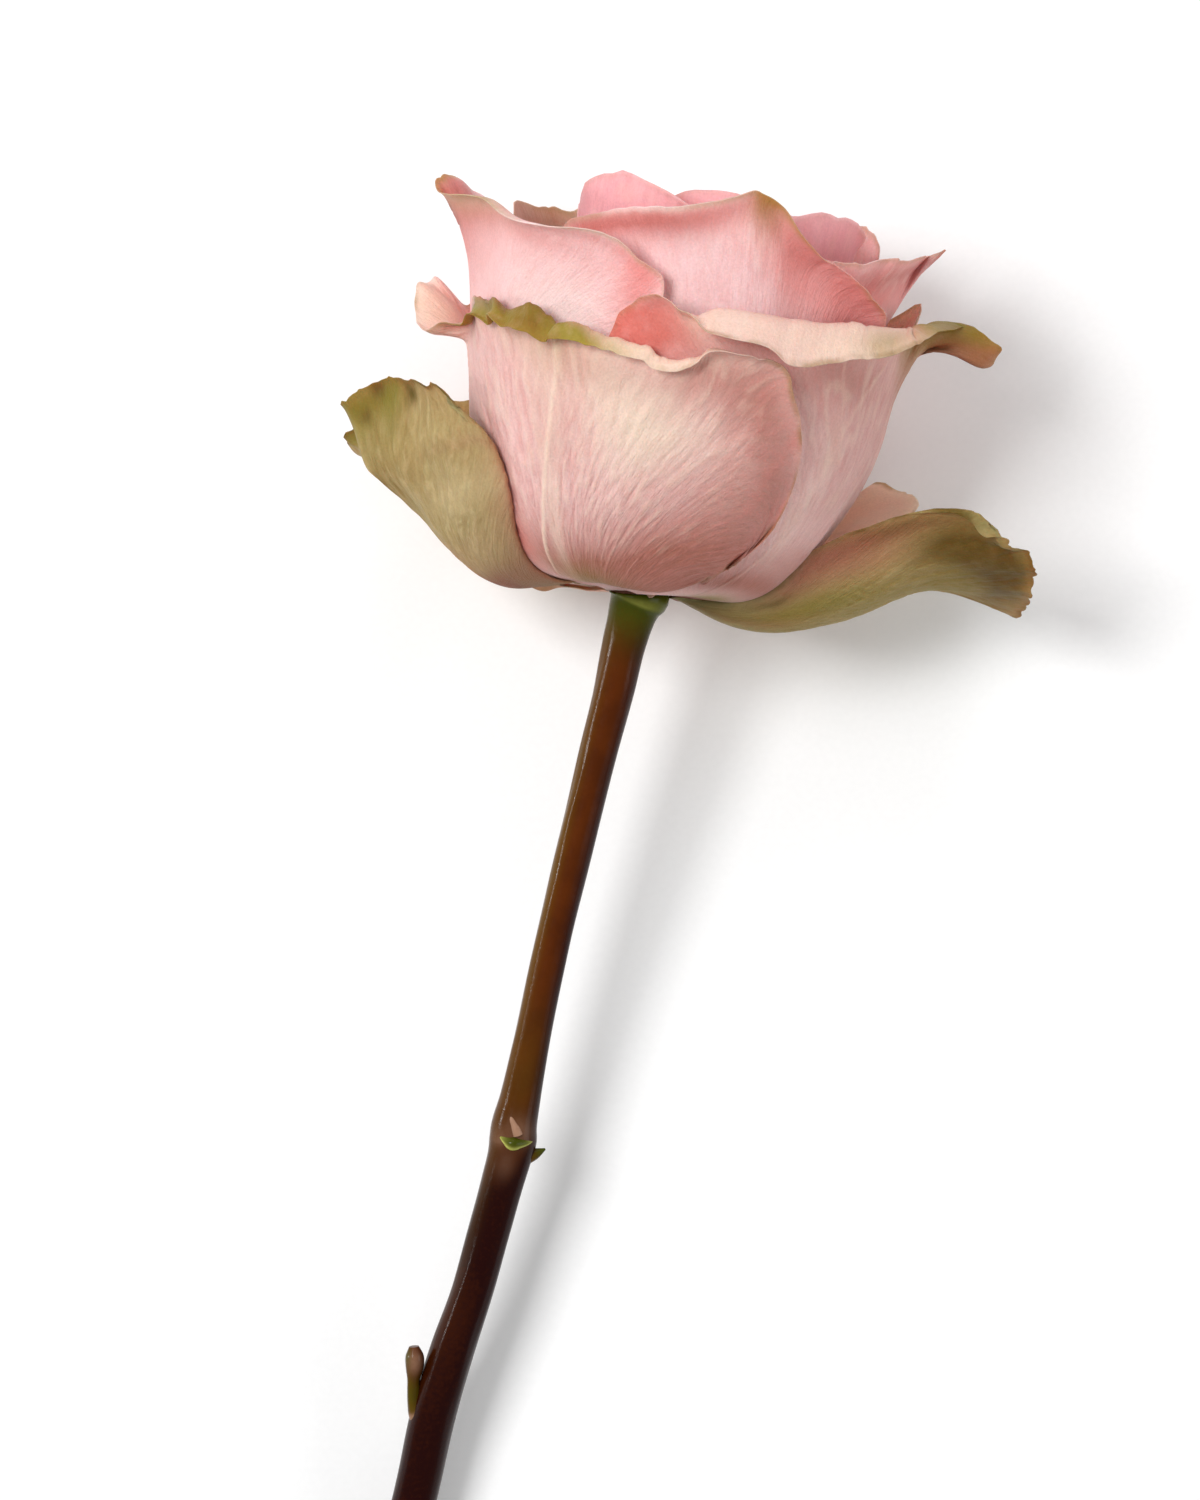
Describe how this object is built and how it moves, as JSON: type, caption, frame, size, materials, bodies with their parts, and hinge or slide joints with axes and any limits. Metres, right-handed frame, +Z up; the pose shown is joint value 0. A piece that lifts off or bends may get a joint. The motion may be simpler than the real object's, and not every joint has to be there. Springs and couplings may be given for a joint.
{
  "type": "cut rose flower",
  "caption": "Half-open pink rose bloom with loose green guard petals on a bare, slightly bent cut stem, lying on its side.",
  "frame": {"origin": "on the resting surface, under the middle of the whole flower's bounding box", "axes": "+Z up from the resting surface, +Y along the lying flower from the cut end towards the bloom, +X to the bloom's right as the picture shows it"},
  "size_m": [0.1096, 0.242, 0.0746],
  "materials": {
    "stem": "waxy plant skin, green under the bloom and turning dark red-brown down the stem, with a soft gloss",
    "petals": "soft matt petal, pale pink with cream green middle ribs, fine branching veins and beige folded margins",
    "guardPetals": "tougher matt petal, olive green with brown veins and a flush of pink at the base"
  },
  "bodies": {
    "root": {"stem": "stem", "bloom": "petals", "guardPetalLeft": "guardPetals", "guardPetalRight": "guardPetals", "guardPetalBackRight": "guardPetals", "guardPetalBackLeft": "guardPetals"}
  },
  "joints": []
}
